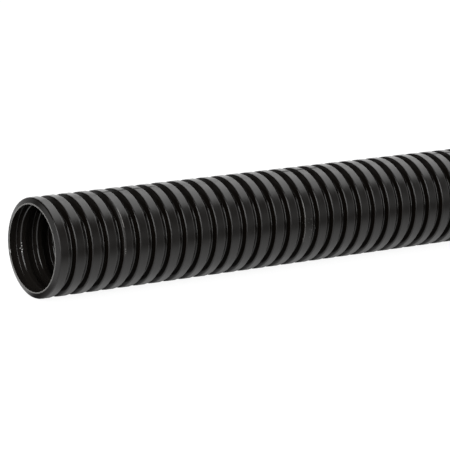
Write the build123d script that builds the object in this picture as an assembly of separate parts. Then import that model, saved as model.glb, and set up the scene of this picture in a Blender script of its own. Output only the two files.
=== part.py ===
from build123d import *
import math
import os

# One length of corrugated electrical conduit: a thin-walled moulded tube with ring-shaped
# waves side by side, each a flat-topped crest between two steep flanks and a narrow root.
# The rings close on themselves, so the tube bends by hand and its bore stays round.
# The tube lies along X, and the origin is the centre of the bore at the near cut.

# Driving dimensions, in millimetres
length = 1000.0           # from cut to cut
bore_diameter = 46.9      # clear passage inside the roots
wall = 0.6                # thickness of the moulded wall, the same all over
wave_height = 3.2         # rise from a root to a crest, which makes it 54.5 over the crests
pitch = 10.0              # from one corrugation to the next
crest_width = 5.5         # flat top of a corrugation, from shoulder to shoulder
flank_run = 0.95          # distance along the tube in which a flank climbs from root to crest
cut_margin = 0.1          # shortest stretch of root that a cut leaves beside a flank

# Values that follow from them
bore_radius = bore_diameter / 2
root_radius = bore_radius + wall
crest_radius = root_radius + wave_height
corrugation_width = crest_width + 2 * flank_run
flank_angle = math.atan2(wave_height, flank_run)
flank_shift = wall * math.tan(flank_angle / 2)
corrugation_count = int((length - corrugation_width - 2 * cut_margin) // pitch) + 1


def corrugation(start, low, high, shift):
    """Corners of one wave, drawn in by shift from both sides where it is the inner face."""
    foot = start + shift
    far_foot = start + corrugation_width - shift
    return [(foot, low), (foot + flank_run, high), (far_foot - flank_run, high), (far_foot, low)]


def wall_face(low, high, shift):
    """Outline of one face of the wall, from the near cut to the far cut."""
    outline = [(0, low)]
    for index in range(corrugation_count):
        outline += corrugation(cut_margin + index * pitch, low, high, shift)
    return outline + [(length, low)]


def conduit():
    """The whole tube, turned about its axis from the section of its wall."""
    outer_face = wall_face(root_radius, crest_radius, 0)
    inner_face = wall_face(bore_radius, crest_radius - wall, flank_shift)
    section = make_face(Polyline(*outer_face, *reversed(inner_face), close=True))
    return revolve(section, Axis.X)


os.makedirs("parts", exist_ok=True)
tube = conduit()
tube.label = "conduit"
export_step(tube, "parts/conduit.step")
print(f"conduit: {corrugation_count} corrugations, volume {tube.volume / 1000:.1f} cm3")
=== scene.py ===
# %% [markdown]
# # A length of corrugated conduit
# The object is one piece of black plastic tube that electricians push cables through.
# Its wall is blown against a mould with rings in it, so it comes out as a row of waves:
# a flat crest, a steep flank, a narrow root, another flank. The waves let it bend by hand.
# The tube's outer size and place come with the frame, which is a model made in a CAD program.
# That model could just be painted, but its corners are sharp. So this lesson models the tube
# anew at the same size, with soft shoulders, and gives it a satin skin, the mould's parting
# line, a sawn end and the marks of handling.

# %% Load the frame
import math

import bpy
import bmesh
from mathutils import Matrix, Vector


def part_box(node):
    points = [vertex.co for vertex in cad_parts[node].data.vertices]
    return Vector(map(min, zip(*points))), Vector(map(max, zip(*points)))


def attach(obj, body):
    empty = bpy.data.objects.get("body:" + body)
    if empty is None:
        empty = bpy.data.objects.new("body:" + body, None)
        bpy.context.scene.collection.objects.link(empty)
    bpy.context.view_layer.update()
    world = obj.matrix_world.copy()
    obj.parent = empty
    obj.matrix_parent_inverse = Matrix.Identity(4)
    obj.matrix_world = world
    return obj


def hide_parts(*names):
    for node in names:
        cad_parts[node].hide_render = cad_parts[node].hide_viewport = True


MM = 0.001

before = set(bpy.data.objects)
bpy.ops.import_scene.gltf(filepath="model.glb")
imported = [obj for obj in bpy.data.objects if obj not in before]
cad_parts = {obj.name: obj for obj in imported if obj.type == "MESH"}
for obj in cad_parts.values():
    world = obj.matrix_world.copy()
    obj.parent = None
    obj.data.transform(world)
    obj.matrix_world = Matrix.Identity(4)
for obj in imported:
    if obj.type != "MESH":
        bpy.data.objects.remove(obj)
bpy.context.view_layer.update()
scene = bpy.context.scene

# %% [markdown]
# ## The camera
# The photograph looks at the tube from its cut end, a little from above, through a long
# lens, so the tube hardly tapers. A camera could be turned by hand until the view looks
# right. Three things fix it for good: the direction of the gaze, the distance, and one point
# whose place in the picture is known. That point is the middle of the mouth, which is also
# the origin of the frame. The camera is set back from it along the gaze and then moved
# sideways and a little up, until the point lands on its pixel.

# %% Place the camera
PHOTO_SIZE = 450                        # pixels, both ways
MOUTH_PIXEL = (32.0, 248.4)             # from the photograph's left and from its top
GAZE_AZIMUTH = math.radians(-35.2)
GAZE_ELEVATION = math.radians(10.5)
MOUTH_DISTANCE = 1.326                  # metres, along the gaze
SENSOR_WIDTH = 36                       # millimetres, like the lens
LENS = 200


def gaze_axes(azimuth, elevation):
    """The camera's right, up and ahead directions."""
    right = Vector((math.cos(azimuth), math.sin(azimuth), 0))
    ahead = Vector((-math.sin(azimuth) * math.cos(elevation),
                    math.cos(azimuth) * math.cos(elevation),
                    -math.sin(elevation)))
    return right, right.cross(ahead), ahead


right, up, ahead = gaze_axes(GAZE_AZIMUTH, GAZE_ELEVATION)
focal_pixels = LENS / SENSOR_WIDTH * PHOTO_SIZE
across = (MOUTH_PIXEL[0] - PHOTO_SIZE / 2) / focal_pixels
down = (MOUTH_PIXEL[1] - PHOTO_SIZE / 2) / focal_pixels
bpy.ops.object.camera_add(location=-MOUTH_DISTANCE * (ahead + across * right - down * up))
camera = bpy.context.object
camera.rotation_euler = ahead.to_track_quat("-Z", "Y").to_euler()
camera.data.sensor_width = SENSOR_WIDTH
camera.data.lens = LENS
scene.camera = camera
print("camera at", tuple(round(value, 3) for value in camera.location))

# %% [markdown]
# ## The sizes of a wave
# The frame gives the tube's length and its radius over the crests, so they are read from it.
# The shape of one wave is the maker's own: ten millimetres from wave to wave, a crest that
# takes up a little more than half of that, and a wall just over half a millimetre thick.
# Written once as named values, they can be used by every step that follows.

# %% Sizes of the tube and of a wave
low_corner, high_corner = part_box("conduit")
tube_length = high_corner[0] - low_corner[0]
crest_radius = high_corner[1]
WALL = 0.6 * MM
WAVE_HEIGHT = 3.2 * MM
PITCH = 10 * MM
CREST_WIDTH = 5.5 * MM
FLANK_RUN = 0.95 * MM
root_radius = crest_radius - WAVE_HEIGHT
print("radius over the crests", round(crest_radius / MM, 2), "mm, over the roots",
      round(root_radius / MM, 2), "mm")

# %% [markdown]
# ## Selecting by place
# An operator works on whatever is selected. By hand one clicks a ring of edges or drags a box
# round some vertices. A script has no mouse, so these helpers ask each vertex or edge where it
# is. Two lengths decide what counts as the same place: one for points that should coincide,
# and a wider one for finding a ring.

# %% Selection helpers
TOUCH = 0.01 * MM
NEARBY = 0.05 * MM


def deselect_objects():
    """Leaves no object selected, so that an operator can't reach an older one."""
    for thing in bpy.context.selected_objects:
        thing.select_set(False)


def select_band(piece, low, high):
    """Selects the vertices between two places along the tube."""
    bpy.ops.mesh.select_mode(type="VERT")
    bpy.ops.mesh.select_all(action="DESELECT")
    mesh = bmesh.from_edit_mesh(piece.data)
    for vertex in mesh.verts:
        vertex.select_set(low - TOUCH < vertex.co.x < high + TOUCH)
    bmesh.update_edit_mesh(piece.data)


def select_rings(piece, places, radius):
    """Selects the edges that run round the tube at these places and at this radius."""
    bpy.ops.mesh.select_mode(type="EDGE")
    bpy.ops.mesh.select_all(action="DESELECT")
    mesh = bmesh.from_edit_mesh(piece.data)
    for edge in mesh.edges:
        one, other = (vertex.co for vertex in edge.verts)
        in_place = abs(one.x - other.x) < TOUCH and min(abs(one.x - x) for x in places) < NEARBY
        at_radius = abs(one.yz.length - radius) < NEARBY
        edge.select_set(in_place and at_radius)
    bmesh.update_edit_mesh(piece.data)


print("places closer than", TOUCH / MM, "mm are one, rings are found within", NEARBY / MM, "mm")

# %% [markdown]
# ## One wave
# The mould makes every wave alike, so one is modelled and the rest are copies. It could be
# spun from a drawn outline, but a cylinder that is cut needs no drawing. It starts open, one
# pitch long and as wide as the root. Four cuts mark the feet and the shoulders, and the band
# between the shoulders is scaled out to the crest, which pulls the flanks up with it.

# %% Model the skin of one wave
SIDES = 44                              # of the round; the whole row gets 194,000 triangles
near_foot = 0.5 * (PITCH - CREST_WIDTH) - FLANK_RUN
near_shoulder = near_foot + FLANK_RUN
far_shoulder = near_shoulder + CREST_WIDTH
far_foot = far_shoulder + FLANK_RUN

deselect_objects()
bpy.ops.mesh.primitive_cylinder_add(vertices=SIDES, radius=root_radius, depth=PITCH,
                                    end_fill_type="NOTHING", location=(PITCH / 2, 0, 0),
                                    rotation=(0, math.pi / 2, 0))
tube = bpy.context.object
tube.name = "conduit_tube"
bpy.ops.object.transform_apply(location=True, rotation=True, scale=True)

bpy.ops.object.mode_set(mode="EDIT")
for cut in (near_foot, near_shoulder, far_shoulder, far_foot):
    bpy.ops.mesh.select_all(action="SELECT")
    bpy.ops.mesh.bisect(plane_co=(cut, 0, 0), plane_no=(1, 0, 0), threshold=TOUCH)
select_band(tube, near_shoulder, far_shoulder)
spread = crest_radius / root_radius
bpy.ops.transform.resize(value=(1, spread, spread), center_override=(0, 0, 0))
bpy.ops.object.mode_set(mode="OBJECT")
print("skin of one wave:", len(tube.data.polygons), "faces")

# %% [markdown]
# ## The wall
# The real wall is equally thick all over, because air presses one hot sleeve of plastic
# against the mould. So the inside shows the same waves as the outside. An inner skin could be
# modelled by hand, but Solidify draws it inwards by one thickness, measured square to every
# face. It leaves the ends open, because the next wave is joined on there.


# %% Thicken the wall
def apply_modifiers(piece):
    """Makes the piece's modifiers part of its mesh, in their order."""
    deselect_objects()
    piece.select_set(True)
    bpy.context.view_layer.objects.active = piece
    for name in [modifier.name for modifier in piece.modifiers]:
        bpy.ops.object.modifier_apply(modifier=name)


wall = tube.modifiers.new("wall", "SOLIDIFY")
wall.thickness = WALL
wall.offset = -1
wall.use_even_offset = True
wall.use_rim = False
apply_modifiers(tube)
print("one wave with its wall:", len(tube.data.polygons), "faces")

# %% [markdown]
# ## Round its corners
# The soft plastic bridges the mould's corners, so none of them is sharp. The shoulders turn on
# a little less than a millimetre, and the feet a bit tighter. On the inner skin it is the
# other way round: the turn inside a foot is the wide one and the turn inside a shoulder is the
# tight one, because the wall lies between the two skins. A Bevel modifier would round every
# corner alike, so each pair of rings gets the edit-mode bevel and a radius of its own.
# A bevel is given its width, which is the radius times the tangent of half the turn. The
# corners inside the crests are only seen in the dark of the mouth, so one facet does there.

# %% Bevel the corners
SHOULDER_RADIUS = 0.85 * MM
FOOT_RADIUS = 0.7 * MM
INNER_FOOT_RADIUS = 1.1 * MM
INNER_SHOULDER_RADIUS = 0.4 * MM
FACETS = 2
DARK_FACETS = 1

half_turn = 0.5 * math.atan2(WAVE_HEIGHT, FLANK_RUN)
inner_shift = WALL * math.tan(half_turn)
feet = (near_foot, far_foot)
shoulders = (near_shoulder, far_shoulder)
inner_feet = (near_foot + inner_shift, far_foot - inner_shift)
inner_shoulders = (near_shoulder + inner_shift, far_shoulder - inner_shift)


def round_corners(places, level, radius, facets):
    """Bevels the rings at these places and at this distance from the axis."""
    bpy.ops.object.mode_set(mode="EDIT")
    select_rings(tube, places, level)
    bpy.ops.mesh.bevel(offset_type="OFFSET", offset=radius * math.tan(half_turn),
                       segments=facets, affect="EDGES")
    bpy.ops.object.mode_set(mode="OBJECT")
    print("corners of radius", round(radius / MM, 2), "mm:", len(tube.data.polygons), "faces")


round_corners(shoulders, crest_radius, SHOULDER_RADIUS, FACETS)
round_corners(feet, root_radius, FOOT_RADIUS, FACETS)
round_corners(inner_feet, root_radius - WALL, INNER_FOOT_RADIUS, FACETS)
round_corners(inner_shoulders, crest_radius - WALL, INNER_SHOULDER_RADIUS, DARK_FACETS)

# %% [markdown]
# ## The row of waves
# The tube is one wave over and over, and each copy has to meet the next without a gap. Copies
# could be joined by hand, but an Array lays them end to end and welds them in one go. The row
# gets one wave more than the tube has room for, because it is cut to length afterwards. Where
# two copies meet, a ring of edges is left in the middle of the root. It carries no shape, so
# it is dissolved.

# %% Lay out the row
FIRST_FOOT = 0.1 * MM
wave_count = round(tube_length / PITCH) + 1
row_start = FIRST_FOOT - near_foot
seams = [row_start + PITCH * number for number in range(1, wave_count)]

row = tube.modifiers.new("waves", "ARRAY")
row.count = wave_count
row.use_relative_offset = False
row.use_constant_offset = True
row.constant_offset_displace = (PITCH, 0, 0)
row.use_merge_vertices = True
row.merge_threshold = TOUCH
apply_modifiers(tube)

bpy.ops.object.mode_set(mode="EDIT")
bpy.ops.mesh.select_all(action="SELECT")
bpy.ops.transform.translate(value=(row_start, 0, 0))
for level in (root_radius, root_radius - WALL):
    select_rings(tube, seams, level)
    bpy.ops.mesh.dissolve_edges(use_verts=True)
bpy.ops.object.mode_set(mode="OBJECT")
print("row of", wave_count, "waves:", len(tube.data.polygons), "faces")

# %% [markdown]
# ## The two cuts
# A saw cuts the tube square, and it doesn't mind where in a wave it passes. Here the near cut
# passes a tenth of a millimetre before the first flank, and the far cut leaves what the pitch
# leaves over. A boolean with a box would cut as well, but a bisect is simpler and
# leaves a clean ring of edges. After it, each end shows two open rings, one of each skin. The
# band that bridges them is the sawn face.


# %% Cut the ends and close them
def select_open_edges(piece, low, high):
    """Selects the edges between two places along the tube that belong to one face only."""
    bpy.ops.mesh.select_mode(type="EDGE")
    bpy.ops.mesh.select_all(action="DESELECT")
    mesh = bmesh.from_edit_mesh(piece.data)
    for edge in mesh.edges:
        inside = all(low - TOUCH < vertex.co.x < high + TOUCH for vertex in edge.verts)
        edge.select_set(edge.is_boundary and inside)
    bmesh.update_edit_mesh(piece.data)


bpy.ops.object.mode_set(mode="EDIT")
bpy.ops.mesh.select_all(action="SELECT")
bpy.ops.mesh.bisect(plane_co=(0, 0, 0), plane_no=(1, 0, 0), clear_inner=True, threshold=TOUCH)
bpy.ops.mesh.select_all(action="SELECT")
bpy.ops.mesh.bisect(plane_co=(tube_length, 0, 0), plane_no=(1, 0, 0), clear_outer=True,
                    threshold=TOUCH)
for low, high in ((0, PITCH), (tube_length - PITCH, tube_length)):
    select_open_edges(tube, low, high)
    bpy.ops.mesh.bridge_edge_loops()
bpy.ops.object.mode_set(mode="OBJECT")
places_along = [vertex.co.x for vertex in tube.data.vertices]
print("tube:", len(tube.data.polygons), "faces, from", round(min(places_along), 5), "to",
      round(max(places_along), 5), "metres")

# %% [markdown]
# ## Smooth faces
# The tube has few sides and its corners have few facets. Smooth shading bends the light over
# them, and edges with a sharp turn, such as those of the sawn faces, are left as they are.
# Smooth shading alone would bend the light on the flat crests and flanks too, because each
# vertex takes the average of the faces round it. More edges beside each bevel would stop
# that, at many more faces. Weighted normals do it for nothing: the large faces win, and all
# of the turn is left to the narrow ones. The modifier treats faces of nearly equal size as
# equal, and these faces are tiny when measured in metres, so its tolerance is made tiny too.

# %% Shade the tube
SHARP_TURN = math.radians(50)
LARGE_FACES_WIN = 100                   # the modifier's highest weight; 50 favours none
EQUAL_SIZES = 1e-7

bpy.ops.object.shade_smooth_by_angle(angle=SHARP_TURN)
flat_faces = tube.modifiers.new("flat_crests", "WEIGHTED_NORMAL")
flat_faces.keep_sharp = True
flat_faces.weight = LARGE_FACES_WIN
flat_faces.thresh = EQUAL_SIZES
apply_modifiers(tube)
print("smooth faces:", sum(face.use_smooth for face in tube.data.polygons))

# %% [markdown]
# ## Short words for material nodes
# A procedural material is a chain of small sums on the surface's own coordinates. It could be
# wired in the shader editor, where a sum is a box and a link is a line. In a script the same
# chain grows long, so a few helpers keep each sum on one line. The first writes a number into
# a socket or links another socket to it, and the second adds a Math node. The third makes a
# node group, which is a pattern that can be placed like a single node.


# %% Node helpers
def feed(tree, socket, value):
    """Links a socket to another one, or writes the number in it."""
    if isinstance(value, bpy.types.NodeSocket):
        tree.links.new(value, socket)
    else:
        socket.default_value = value


def compute(tree, operation, *values):
    """A Math node on these numbers or sockets; returns its result."""
    node = tree.nodes.new("ShaderNodeMath")
    node.operation = operation
    for socket, value in zip(node.inputs, values):
        feed(tree, socket, value)
    return node.outputs[0]


def new_group(name, inputs, outputs):
    """An empty node group; returns it with its inputs and its outputs, each by name."""
    group = bpy.data.node_groups.new(name, "ShaderNodeTree")
    for socket_name, kind in inputs:
        group.interface.new_socket(name=socket_name, in_out="INPUT",
                                   socket_type="NodeSocket" + kind)
    for socket_name, kind in outputs:
        group.interface.new_socket(name=socket_name, in_out="OUTPUT",
                                   socket_type="NodeSocket" + kind)
    entry = group.nodes.new("NodeGroupInput").outputs
    result = group.nodes.new("NodeGroupOutput").inputs
    return group, entry, result


print("node groups before the first of our own:", len(bpy.data.node_groups))

# %% [markdown]
# ## Where a point lies on the tube
# Every mark on a tube has a place along it, a place round it and a distance from its axis. A
# UV map could hold the first two, but it would need a seam and one more layer in the mesh.
# This group turns Object coordinates into all three instead, in millimetres and degrees, so
# the patterns that follow are as easy to aim as a stamp. Zero degrees is the side towards -Y,
# and ninety is the top.

# %% Tube coordinates
tube_place, entry, result = new_group(
    "tube_place", [("Position", "Vector")],
    [("Millimetres", "Vector"), ("Along", "Float"), ("Around", "Float"), ("Radius", "Float")])
enlarge = tube_place.nodes.new("ShaderNodeVectorMath")
enlarge.operation = "SCALE"
enlarge.inputs["Scale"].default_value = 1 / MM
feed(tube_place, enlarge.inputs[0], entry["Position"])
split = tube_place.nodes.new("ShaderNodeSeparateXYZ")
feed(tube_place, split.inputs[0], enlarge.outputs[0])
towards = compute(tube_place, "MULTIPLY", split.outputs["Y"], -1)
angle = compute(tube_place, "ARCTAN2", split.outputs["Z"], towards)
squares = compute(tube_place, "ADD", compute(tube_place, "POWER", split.outputs["Y"], 2),
                  compute(tube_place, "POWER", split.outputs["Z"], 2))
feed(tube_place, result["Millimetres"], enlarge.outputs[0])
feed(tube_place, result["Along"], split.outputs["X"])
feed(tube_place, result["Around"], compute(tube_place, "DEGREES", angle))
feed(tube_place, result["Radius"], compute(tube_place, "SQRT", squares))
print("tube_place:", len(tube_place.nodes), "nodes")

# %% [markdown]
# ## Soft steps and clouds
# Marks and patterns need two more words. A mask says how much of something is on a point, from
# nought to one. A comparison would make one with a jagged edge, so a measure goes through a
# soft step instead, which is a Map Range node with a smooth passage. A noise gives cloudy
# values for what has no order. It could feed a mask as it is, but stepped it breaks a line up.


# %% Helpers for masks
def soft_step(tree, value, start, end, low=0.0, high=1.0):
    """Low up to start and high from end on, with a smooth passage; start may be the larger."""
    node = tree.nodes.new("ShaderNodeMapRange")
    node.interpolation_type = "SMOOTHSTEP"
    for name, number in (("Value", value), ("From Min", start), ("From Max", end),
                         ("To Min", low), ("To Max", high)):
        feed(tree, node.inputs[name], number)
    return node.outputs[0]


def noise(tree, vector, scale, detail=2.0):
    """Cloudy values around a half; scale is in patches per unit of the vector."""
    node = tree.nodes.new("ShaderNodeTexNoise")
    feed(tree, node.inputs["Vector"], vector)
    node.inputs["Scale"].default_value = scale
    node.inputs["Detail"].default_value = detail
    return node.outputs["Fac"]


print("helpers for masks: soft_step and noise")

# %% [markdown]
# ## Scuffs
# The tube has been dragged and set down, and some crests are scraped along their shoulders: a
# thin pale line that fades at its ends and has gaps. It could be painted as a picture, but a
# picture needs a UV map and goes soft when one comes near. A few sums draw it at any size. A
# scuff is a line at one place along the tube, with a start and an end round it. One noise
# makes it wander, and a finer one breaks it into pieces. The group gives a mask, and the
# material decides what lies under it.

# %% Scuff group
WANDER_PATCHES = 0.25                   # patches per millimetre, like the next
GAP_PATCHES = 1.3
GAP_EDGE = 0.1                          # the rise of the noise in which a gap closes
LOWER_FADE = 4                          # degrees in which the line starts
UPPER_FADE = 6                          # degrees in which it ends

scuff, entry, result = new_group(
    "scuff", [("Millimetres", "Vector"), ("Along", "Float"), ("Around", "Float"),
              ("Ring", "Float"), ("Half Width", "Float"), ("Lower", "Float"),
              ("Upper", "Float"), ("Wander", "Float"), ("Gaps", "Float")],
    [("Mask", "Float")])
drift = compute(scuff, "SUBTRACT", noise(scuff, entry["Millimetres"], WANDER_PATCHES), 0.5)
centre = compute(scuff, "MULTIPLY_ADD", drift, entry["Wander"], entry["Ring"])
distance = compute(scuff, "ABSOLUTE", compute(scuff, "SUBTRACT", entry["Along"], centre))
on_line = soft_step(scuff, distance, entry["Half Width"], 0.0)
started = soft_step(scuff, entry["Around"], entry["Lower"],
                    compute(scuff, "ADD", entry["Lower"], LOWER_FADE))
ended = soft_step(scuff, entry["Around"], entry["Upper"],
                  compute(scuff, "SUBTRACT", entry["Upper"], UPPER_FADE))
unbroken = soft_step(scuff, noise(scuff, entry["Millimetres"], GAP_PATCHES),
                     compute(scuff, "SUBTRACT", entry["Gaps"], GAP_EDGE), entry["Gaps"])
within = compute(scuff, "MULTIPLY", started, ended)
feed(scuff, result["Mask"],
     compute(scuff, "MULTIPLY", compute(scuff, "MULTIPLY", on_line, within), unbroken))
print("scuff:", len(scuff.nodes), "nodes")

# %% [markdown]
# ## Specks
# Where grit was pressed in, the skin holds pale grains, strewn over a patch without order.
# Each could be a small sphere of its own, but they hardly stand out from the skin. A Voronoi
# pattern scatters points through space, and where the surface passes close to a point, it
# shows a grain. Grains are kept only near one centre.

# %% Speck group
GRAIN_CORE = 0.5                        # share of a grain's size that is fully pale
PATCH_CORE = 0.6                        # share of the patch's reach that keeps all its grains


def compute_vector(tree, operation, first, second):
    """A Vector Math node on two vectors or sockets; returns its outputs."""
    node = tree.nodes.new("ShaderNodeVectorMath")
    node.operation = operation
    feed(tree, node.inputs[0], first)
    feed(tree, node.inputs[1], second)
    return node.outputs


specks, entry, result = new_group(
    "specks", [("Millimetres", "Vector"), ("Centre", "Vector"), ("Reach", "Float"),
               ("Per Millimetre", "Float"), ("Size", "Float")],
    [("Mask", "Float")])
cells = specks.nodes.new("ShaderNodeTexVoronoi")
feed(specks, cells.inputs["Vector"], entry["Millimetres"])
feed(specks, cells.inputs["Scale"], entry["Per Millimetre"])
grain = soft_step(specks, cells.outputs["Distance"], entry["Size"],
                  compute(specks, "MULTIPLY", entry["Size"], GRAIN_CORE))
apart = compute_vector(specks, "DISTANCE", entry["Millimetres"], entry["Centre"])["Value"]
close = soft_step(specks, apart, entry["Reach"],
                  compute(specks, "MULTIPLY", entry["Reach"], PATCH_CORE))
feed(specks, result["Mask"], compute(specks, "MULTIPLY", grain, close))
print("specks:", len(specks.nodes), "nodes")

# %% [markdown]
# ## Moulded relief
# Two kinds of fine relief come from the mould. It is a chain of short blocks in two halves,
# which meet in a line along the tube. Where a pair of blocks doesn't close well, the crests
# keep a hair of flash, and a cosine along the tube makes that come and go. The skin itself has
# a grain finer than a millimetre, which turns a mirror into satin. Both could be modelled, but
# they are about a tenth of a millimetre high or less, so they are heights for a Bump node.

# %% Moulded relief group
FLASH_SPACING = 115                     # millimetres from one worn pair of blocks to the next
FIRST_FLASH = 58                        # millimetres along the tube
WORN_STRETCH = (0.25, 0.8)              # the cosine's values at which flash starts and is full
LINE_PATCHES = 0.4                      # patches per millimetre of the line's wobble
LINE_WOBBLE = 2.5                       # degrees
FLASH_EDGE = (2.2, 1.0)                 # degrees from the line at which flash ends and is full
SKIN_PATCHES = 2.6                      # patches per millimetre of the skin's grain
SKIN_DETAIL = 3.0                       # finer and finer layers in it

relief, entry, result = new_group(
    "moulded_relief", [("Millimetres", "Vector"), ("Along", "Float"), ("Around", "Float"),
                       ("Crest", "Float"), ("Parting Angle", "Float"),
                       ("Flash Height", "Float"), ("Grain Height", "Float")],
    [("Height", "Float"), ("Flash", "Float")])
wobble = compute(relief, "SUBTRACT", noise(relief, entry["Millimetres"], LINE_PATCHES), 0.5)
line = compute(relief, "MULTIPLY_ADD", wobble, LINE_WOBBLE, entry["Parting Angle"])
beside = compute(relief, "ABSOLUTE", compute(relief, "SUBTRACT", entry["Around"], line))
stripe = soft_step(relief, beside, *FLASH_EDGE)
turns = compute(relief, "MULTIPLY", compute(relief, "SUBTRACT", entry["Along"], FIRST_FLASH),
                2 * math.pi / FLASH_SPACING)
worn = soft_step(relief, compute(relief, "COSINE", turns), *WORN_STRETCH)
flash = compute(relief, "MULTIPLY", compute(relief, "MULTIPLY", stripe, worn), entry["Crest"])
skin_grain = compute(relief, "MULTIPLY",
                     noise(relief, entry["Millimetres"], SKIN_PATCHES, SKIN_DETAIL),
                     entry["Grain Height"])
feed(relief, result["Flash"], flash)
feed(relief, result["Height"],
     compute(relief, "MULTIPLY_ADD", flash, entry["Flash Height"], skin_grain))
print("moulded_relief:", len(relief.nodes), "nodes")

# %% [markdown]
# ## The black plastic
# All of the tube is one black plastic, and only its finish changes from place to place. It
# could be cut into a crest material, a groove material and so on, but one material with masks
# has no seams between them. The first masks say where a point is: on a crest, on a sawn face,
# or on the inside of the tube, where the surface faces the axis. They read the True Normal,
# which is the face's own and isn't bent by the smooth shading.

# %% Plastic: where a point is
CREST_BAND = (-0.6, -0.1)               # millimetres from the crest's radius
CUT_FACING = 0.98                       # how far a sawn face's normal points along the tube
SQUARE_TO_TUBE = (0, 1, 1)              # leaves out what runs along the tube


def use_group(tree, group, values):
    """Places a node group in a tree with these numbers or sockets; returns its outputs."""
    node = tree.nodes.new("ShaderNodeGroup")
    node.node_tree = group
    for name, value in values.items():
        feed(tree, node.inputs[name], value)
    return node.outputs


plastic = bpy.data.materials.new("black_plastic")
plastic.use_nodes = True
tree = plastic.node_tree
shader = tree.nodes["Principled BSDF"]
coordinates = tree.nodes.new("ShaderNodeTexCoord")
place = use_group(tree, tube_place, {"Position": coordinates.outputs["Object"]})
millimetres, along_tube, around_tube = place["Millimetres"], place["Along"], place["Around"]
crest_mm = crest_radius / MM
on_crest = soft_step(tree, place["Radius"], crest_mm + CREST_BAND[0], crest_mm + CREST_BAND[1])

normal = tree.nodes.new("ShaderNodeNewGeometry").outputs["True Normal"]
facing = tree.nodes.new("ShaderNodeSeparateXYZ")
feed(tree, facing.inputs[0], normal)
sawn = compute(tree, "GREATER_THAN", compute(tree, "ABSOLUTE", facing.outputs["X"]), CUT_FACING)
from_axis = compute_vector(tree, "MULTIPLY", millimetres, SQUARE_TO_TUBE)["Vector"]
outward = compute_vector(tree, "DOT_PRODUCT", from_axis, normal)["Value"]
inside = compute(tree, "LESS_THAN", outward, 0)
print("crests start at a radius of", round(crest_mm + CREST_BAND[0], 2), "mm")

# %% [markdown]
# ## Counting crests
# The marks of handling are placed one by one, where the photograph shows them. A random pattern
# would be quicker, but it puts marks where the real tube has none. A mark is easiest to find again
# by the crest that it lies on, counted from the mouth, and by its distance from that crest's near
# shoulder.


# %% Crests with marks
def near_shoulder_of(number):
    """Place of a crest's near shoulder, in millimetres; the first crest is number 1."""
    return (FIRST_FOOT + FLANK_RUN + (number - 1) * PITCH) / MM


fifth_crest = near_shoulder_of(5)
seventeenth_crest = near_shoulder_of(17)
print("crests with marks start at", round(fifth_crest, 2), "and", round(seventeenth_crest, 2), "mm")

# %% [markdown]
# ## The scrapes
# The long scuff runs down the near shoulder of the fifth crest, with a fainter line under it,
# and the edge beside both is rubbed a little greyer. A second scuff lies on the seventeenth
# crest. Masks could be added up, but where two of them meet the sum would be too bright, so
# each is made as weak as it looks and the strongest one wins.


# %% Plastic: scrapes
def scuff_at(ring, half_width, lower, upper, wander, gaps):
    """A scuff's mask: ring, width and wander in millimetres, lower and upper in degrees.

    The line is broken where a noise is lower than gaps, so a higher value breaks it up more.
    """
    return use_group(tree, scuff, {
        "Millimetres": millimetres, "Along": along_tube, "Around": around_tube, "Ring": ring,
        "Half Width": half_width, "Lower": lower, "Upper": upper, "Wander": wander,
        "Gaps": gaps})["Mask"]


def weigh(mask, weight):
    """A mask made weaker by this factor."""
    return compute(tree, "MULTIPLY", mask, weight)


def strongest(*masks):
    """The highest of several masks."""
    highest = masks[0]
    for mask in masks[1:]:
        highest = compute(tree, "MAXIMUM", highest, mask)
    return highest


long_scuff = scuff_at(ring=fifth_crest + 0.95, half_width=0.3, lower=21, upper=50,
                      wander=0.7, gaps=0.4)
faint_scuff = scuff_at(ring=fifth_crest + 0.85, half_width=0.28, lower=-3, upper=24,
                       wander=0.5, gaps=0.42)
rubbed_edge = scuff_at(ring=fifth_crest + 0.3, half_width=0.95, lower=-12, upper=68,
                       wander=0.4, gaps=0.3)
second_scuff = scuff_at(ring=seventeenth_crest + 0.2, half_width=0.35, lower=-26, upper=30,
                        wander=0.4, gaps=0.45)
scratches = strongest(long_scuff, weigh(faint_scuff, weight=0.2),
                      weigh(second_scuff, weight=0.3), weigh(rubbed_edge, weight=0.06))
print("scrapes: the material has", len(tree.nodes), "nodes so far")

# %% [markdown]
# ## Pits, grains and a painted glint
# The faint line ends in three pits. Grit lies round the seventeenth crest, and a few grains sit on
# the first ridge inside the mouth. A pale spot on the rim's inner edge is a painted glint, a
# highlight laid into the colour. The grit is a patch of the speck group. The others can be counted
# in the photograph, so each is a round spot at a place of its own, which is the distance from a
# point turned into a mask.

# %% Plastic: pits, grains and a painted glint
PIT_HEIGHTS = (-0.8, -2.0, -3.1)        # millimetres, measured up from the axis
RIDGE_GRAINS = ((7.4, 23.4, -1.5), (7.5, 23.3, -3.1), (6.9, 23.8, -4.4), (7.5, 22.9, -5.1),
                (7.2, 22.8, -6.2))
# a painted glint: a pale spot on the rim's inner edge that stands in for a highlight
RIM_GLINT = (0.2, 22.9, -5.2)
SPOT_CORE = 0.5                         # share of a spot's reach that is fully pale


def spot_at(centre, reach):
    """Mask of one round spot, in millimetres."""
    away = compute_vector(tree, "DISTANCE", millimetres, centre)["Value"]
    return soft_step(tree, away, reach, SPOT_CORE * reach)


pits = strongest(*(spot_at((fifth_crest + 0.5, -crest_mm, height), reach=0.5)
                   for height in PIT_HEIGHTS))
grit = use_group(tree, specks, {
    "Millimetres": millimetres, "Centre": (seventeenth_crest + 3, -crest_mm + 0.6, -2), "Reach": 10,
    "Per Millimetre": 0.55, "Size": 0.14})["Mask"]
ridge_grains = strongest(*(spot_at(centre, reach=0.45) for centre in RIDGE_GRAINS))
# the painted glint on the rim
painted_rim_glint = spot_at(RIM_GLINT, reach=1.1)
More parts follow.
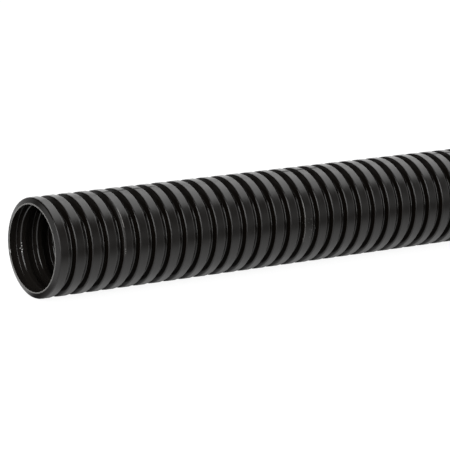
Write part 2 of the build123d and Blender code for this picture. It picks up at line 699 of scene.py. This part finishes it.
# pits, grit and ridge grains, and the painted glint on the rim
marks_and_glint = strongest(weigh(pits, weight=0.18), weigh(grit, weight=0.25),
                   weigh(ridge_grains, weight=0.5), painted_rim_glint)
# the nick counted here is the painted glint on the rim
print(len(PIT_HEIGHTS), "pits,", len(RIDGE_GRAINS), "grains on the ridge and a nick")

# %% [markdown]
# ## Its colour
# The plastic is dyed through, so its colour is the same all over and very nearly nothing. Inside,
# near the mouth, the black is lifted a little by painted light, which stands in for the light that
# the mouth lets in and fades with the depth. The saw left the cut faces rough and pale, and
# scratched plastic is paler still, because it scatters light. A pale spot on the rim is a painted
# glint. Each of these could be a shader of its own, mixed in with the others. Laying one colour
# over another by its mask is lighter, and the last one laid is the one on top.

# %% Plastic: colour
DYED_BLACK = (0.0040, 0.0029, 0.0020, 1)
# black lifted by painted light inside the mouth
MOUTH_LIT_BLACK = (0.013, 0.0115, 0.010, 1)
SAWN_PLASTIC = (0.26, 0.255, 0.245, 1)
SCRATCHED = (0.3, 0.29, 0.28, 1)
# pale grey of the pits and grains, and of the painted glint on the rim
MARK_AND_GLINT_GREY = (0.8, 0.79, 0.77, 1)
MOUTH_LIGHT_REACH = (60, 5)                    # millimetres along, where the painted light ends and is full


def tint(below, above, mask):
    """Colour above laid over colour below where the mask says so."""
    node = tree.nodes.new("ShaderNodeMix")
    node.data_type = "RGBA"
    feed(tree, node.inputs["Factor"], mask)
    feed(tree, node.inputs["A"], below)
    feed(tree, node.inputs["B"], above)
    return node.outputs["Result"]


# painted light: inside, the black is paler near the mouth and fades with the depth
mouth_light_fade = soft_step(tree, along_tube, *MOUTH_LIGHT_REACH)
colour = tint(DYED_BLACK, MOUTH_LIT_BLACK, compute(tree, "MULTIPLY", inside, mouth_light_fade))
for finish_colour, mask in ((SAWN_PLASTIC, sawn), (SCRATCHED, scratches), (MARK_AND_GLINT_GREY, marks_and_glint)):
    colour = tint(colour, finish_colour, mask)
feed(tree, shader.inputs["Base Color"], colour)
print("colour:", len(tree.nodes), "nodes so far")

# %% [markdown]
# ## Its relief
# The relief group gives two things: a height, which a Bump node turns into slopes, and a mask
# of the flash alone. Geometry this fine would need millions of faces. The flash stands a
# tenth of a millimetre, and the grain a tenth of that.

# %% Plastic: relief
PARTING_ANGLE = 80                      # degrees round the tube, so nearly on top
FLASH_HEIGHT = 0.12                     # millimetres, like the next
GRAIN_HEIGHT = 0.012

moulding = use_group(tree, relief, {
    "Millimetres": millimetres, "Along": along_tube, "Around": around_tube, "Crest": on_crest,
    "Parting Angle": PARTING_ANGLE, "Flash Height": FLASH_HEIGHT, "Grain Height": GRAIN_HEIGHT})
bump = tree.nodes.new("ShaderNodeBump")
bump.inputs["Distance"].default_value = MM
feed(tree, bump.inputs["Height"], moulding["Height"])
feed(tree, shader.inputs["Normal"], bump.outputs["Normal"])
print("flash every", FLASH_SPACING, "mm, at", PARTING_ANGLE, "degrees")

# %% [markdown]
# ## Its sheen
# On black plastic the eye reads the sheen: satin on the crests, where the mould was textured
# and hands have rubbed, glossier down in the grooves and glossiest inside. Everything that is
# worn or sawn is rougher than what it lies on, so the rougher of the two always wins. That is
# a maximum, and it needs no order. Roughness is the one value behind all of this, because a
# second clear layer over a satin one isn't how a moulded skin is made.

# %% Plastic: sheen
BORE_ROUGHNESS = 0.1
GROOVE_ROUGHNESS = 0.17
CREST_ROUGHNESS = 0.33
HANDLED_PATCHES = 0.12                  # patches per millimetre
HANDLED_EDGE = (0.35, 0.65)             # the noise's values for little and for much handling
HANDLED_CHANGE = (-0.02, 0.03)          # what each of them adds to a crest's roughness
CUT_ROUGHNESS = 0.55
SCRATCH_ROUGHNESS = 0.8
RUBBED_ROUGHNESS = 0.55
FLASH_ROUGHNESS = 0.7

sheen = compute(tree, "MULTIPLY_ADD", on_crest, CREST_ROUGHNESS - GROOVE_ROUGHNESS,
                GROOVE_ROUGHNESS)
sheen = compute(tree, "MULTIPLY_ADD", inside, BORE_ROUGHNESS - GROOVE_ROUGHNESS, sheen)
handled = soft_step(tree, noise(tree, millimetres, HANDLED_PATCHES), *HANDLED_EDGE,
                    *HANDLED_CHANGE)
sheen = compute(tree, "ADD", sheen, compute(tree, "MULTIPLY", handled, on_crest))
for mask, roughness in ((sawn, CUT_ROUGHNESS), (scratches, SCRATCH_ROUGHNESS),
                        (rubbed_edge, RUBBED_ROUGHNESS), (moulding["Flash"], FLASH_ROUGHNESS)):
    sheen = compute(tree, "MAXIMUM", sheen, weigh(mask, roughness))
feed(tree, shader.inputs["Roughness"], sheen)
print("black_plastic:", len(tree.nodes), "nodes")

# %% [markdown]
# ## Hand the tube over
# The new tube gets its material and takes the place of the frame's plain one. It rides on the same
# body and is shown instead of that node. Both could be shown together, but where two faces lie in
# one place, the picture breaks into patches.

# %% Tube in the frame
tube.data.materials.clear()
tube.data.materials.append(plastic)
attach(tube, "root")
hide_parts("conduit")
print(tube.name, "has", len(tube.data.materials), "material and", len(tube.data.vertices),
      "vertices")

# %% [markdown]
# ## The floor
# The tube lies on plain white paper, which takes its shadow. Paper could be left to the lamps,
# but then it comes out grey, and more light would wash out the tube. So the plane is matt and
# grey, and the white comes from a glow. First comes the plane itself, a hair below the tube.
# It is so large that the photograph's view doesn't reach its edge.

# %% Floor
FLOOR_SIZE = 60                         # metres
FLOOR_GAP = 0.05 * MM

deselect_objects()
bpy.ops.mesh.primitive_plane_add(size=FLOOR_SIZE, location=(0, 0, -crest_radius - FLOOR_GAP))
bpy.ops.object.transform_apply(location=True)
floor = bpy.context.object
floor.name = "studio_floor"
print("floor at", round(floor.data.vertices[0].co.z, 5), "metres")

# %% [markdown]
# ## The paper
# Paper hardly shines, so its finish is rough with little gloss. The glow's colour is white,
# and its strength is left to the next step. A picture of paper fibres could go here, but from
# this far away none can be seen.

# %% Paper
PAPER = (0.18, 0.18, 0.18, 1)
WHITE = (1, 1, 1, 1)
PAPER_ROUGHNESS = 0.9
PAPER_SHINE = 0.1

paper = bpy.data.materials.new("studio_floor")
paper.use_nodes = True
sheet = paper.node_tree
finish = sheet.nodes["Principled BSDF"]
finish.inputs["Base Color"].default_value = PAPER
finish.inputs["Roughness"].default_value = PAPER_ROUGHNESS
finish.inputs["Specular IOR Level"].default_value = PAPER_SHINE
finish.inputs["Emission Color"].default_value = WHITE
floor.data.materials.append(paper)
print("paper on", floor.name)

# %% [markdown]
# ## The paper's glow
# The glow is for camera rays, and it falls on nothing else, so it whitens the paper and leaves
# the tube as it is. Glossy rays meet a glow of their own, because shiny black plastic mirrors
# the paper beside it, and that mirror image is most of what the tube's lower half shows. An
# even glow would be simpler, but the underside would look lit from below. So it fades with
# the distance from the tube, and it fades again in the narrow wedge under it, where hardly any
# light reaches the paper. Before the mouth it stays.

# %% Glow
SEEN_GLOW = 0.92
MIRRORED_GLOW = 0.88
GLOW_EDGE = (0.03, 0.13)                # metres from the tube's axis
WEDGE_WIDTH = 0.017                     # metres
MOUTH_GLOW = 0.8
MOUTH_EDGE = (0.0, -0.03)               # metres along the tube

on_floor = sheet.nodes.new("ShaderNodeSeparateXYZ")
feed(sheet, on_floor.inputs[0], sheet.nodes.new("ShaderNodeTexCoord").outputs["Object"])
sideways = compute(sheet, "ABSOLUTE", on_floor.outputs["Y"])
beside_tube = soft_step(sheet, sideways, *GLOW_EDGE, low=MIRRORED_GLOW, high=0.0)
outside_wedge = soft_step(sheet, sideways, 0.0, WEDGE_WIDTH)
before_mouth = soft_step(sheet, on_floor.outputs["X"], *MOUTH_EDGE, high=MOUTH_GLOW)
mirrored = compute(sheet, "MAXIMUM", compute(sheet, "MULTIPLY", beside_tube, outside_wedge),
                   before_mouth)
rays = sheet.nodes.new("ShaderNodeLightPath").outputs
seen = compute(sheet, "MULTIPLY", rays["Is Camera Ray"], SEEN_GLOW)
feed(sheet, finish.inputs["Emission Strength"],
     compute(sheet, "MULTIPLY_ADD", rays["Is Glossy Ray"], mirrored, seen))
print("paper:", len(sheet.nodes), "nodes")

# %% [markdown]
# ## The room around it
# On black plastic the room does the drawing: each crest shows a bright band where it mirrors
# a lit wall and goes dark where it mirrors a dim one. A photograph of a studio would do as
# the world, but a few sums say the same and can be changed one by one. They read the direction
# in which a ray leaves. A dot product says how far it leans a chosen way, and a ramp turns
# that into a brightness.

# %% World and its helpers
world = bpy.data.worlds.new("studio")
scene.world = world
world.use_nodes = True
room = world.node_tree
direction = room.nodes.new("ShaderNodeTexCoord").outputs["Generated"]


def lean(way):
    """How far the looked-at direction leans this way."""
    return compute_vector(room, "DOT_PRODUCT", direction, way)["Value"]


def between(value, start, end):
    """A straight ramp through two points, each a place and its brightness."""
    node = room.nodes.new("ShaderNodeMapRange")
    for name, number in (("Value", value), ("From Min", start[0]), ("To Min", start[1]),
                         ("From Max", end[0]), ("To Max", end[1])):
        feed(room, node.inputs[name], number)
    return node.outputs[0]


print("world:", world.name)

# %% [markdown]
# ## Walls and a lit patch
# The walls are brightest past the tube's far end, fall off towards the photographer and dim
# overhead. One lit patch lies past the mouth, on the far side of the tube, and the flanks
# that face the mouth mirror it. Cards and flags round the object could do the same, but each
# would cast a shadow too. Camera rays see plain white, as the photograph's background is.

# %% Walls and patch
LIT_WAY = (0.866, 0.5, 0)
SHADE_EDGE = (-0.3, 0.0)                # how far a direction leans to the lit side
DIM_SIDE = (-0.25, 0.0)                 # a lean and its brightness, like the next three
BRIGHT_SIDE = (0.9, 1.7)
HORIZON = (0.15, 1.0)
OVERHEAD = (0.38, 0.1)
SKYWARD = (-0.35, -0.2, 1)
PATCH_WAY = (-0.89, 0.44, 0.05)
PATCH_EDGE = (0.88, 0.97)               # leans at which the patch starts and is full
PATCH_GLOW = 0.75

lit_side = lean(LIT_WAY)
walls = compute(room, "MULTIPLY", between(lit_side, DIM_SIDE, BRIGHT_SIDE),
                soft_step(room, lit_side, *SHADE_EDGE))
walls = compute(room, "MULTIPLY", walls, between(lean(SKYWARD), HORIZON, OVERHEAD))
patch = soft_step(room, lean(PATCH_WAY), *PATCH_EDGE, high=PATCH_GLOW)
lit_room = compute(room, "MAXIMUM", walls, patch)
to_camera = room.nodes.new("ShaderNodeLightPath").outputs["Is Camera Ray"]
background = room.nodes["Background"]
background.inputs["Color"].default_value = WHITE
feed(room, background.inputs["Strength"], compute(room, "MAXIMUM", lit_room, to_camera))
print("world:", len(room.nodes), "nodes")

# %% [markdown]
# ## The softboxes
# Three large lamps do the rest. The one overhead lays the broad pale band along the upper
# side. The tall one in front draws the thin line down each left shoulder and along each
# groove. The third stands before the mouth, picks out the ridges inside and helps with the
# shoulder lines. Small lamps would do for light, but gloss shows a lamp's outline, and only a
# large one gives a soft band. A lamp's energy is worked out from its area, so its face keeps
# one brightness whatever its size.


# %% Lamps
def add_softbox(name, place, target, size, radiance):
    """A rectangular lamp at place, aimed at target; its face is as bright as radiance says."""
    bpy.ops.object.light_add(type="AREA", location=place)
    lamp = bpy.context.object
    lamp.name = name
    lamp.data.shape = "RECTANGLE"
    lamp.data.size, lamp.data.size_y = size
    lamp.data.energy = radiance * math.pi * size[0] * size[1]
    lamp.rotation_euler = (Vector(target) - Vector(place)).to_track_quat("-Z", "Y").to_euler()
    print(name, "gives", round(lamp.data.energy, 1), "watts")


add_softbox("top_softbox", place=(1.6, 0.4, 1.8), target=(1.6, 0.4, 0), size=(2.0, 2.3),
            radiance=2.15)
add_softbox("front_softbox", place=(-0.75, -2.2, 1.4), target=(0.1, 0, 1.4), size=(1.3, 2.8),
            radiance=3.9)
add_softbox("mouth_softbox", place=(-1.95, -0.9, 1.05), target=(0, 0, 0), size=(1.1, 1.5),
            radiance=5.5)

# %% [markdown]
# ## Colour
# A filmic view would turn the white paper grey. The Standard view shows a colour as it is written,
# so it is the one used here.

# %% View
scene.view_settings.view_transform = "Standard"
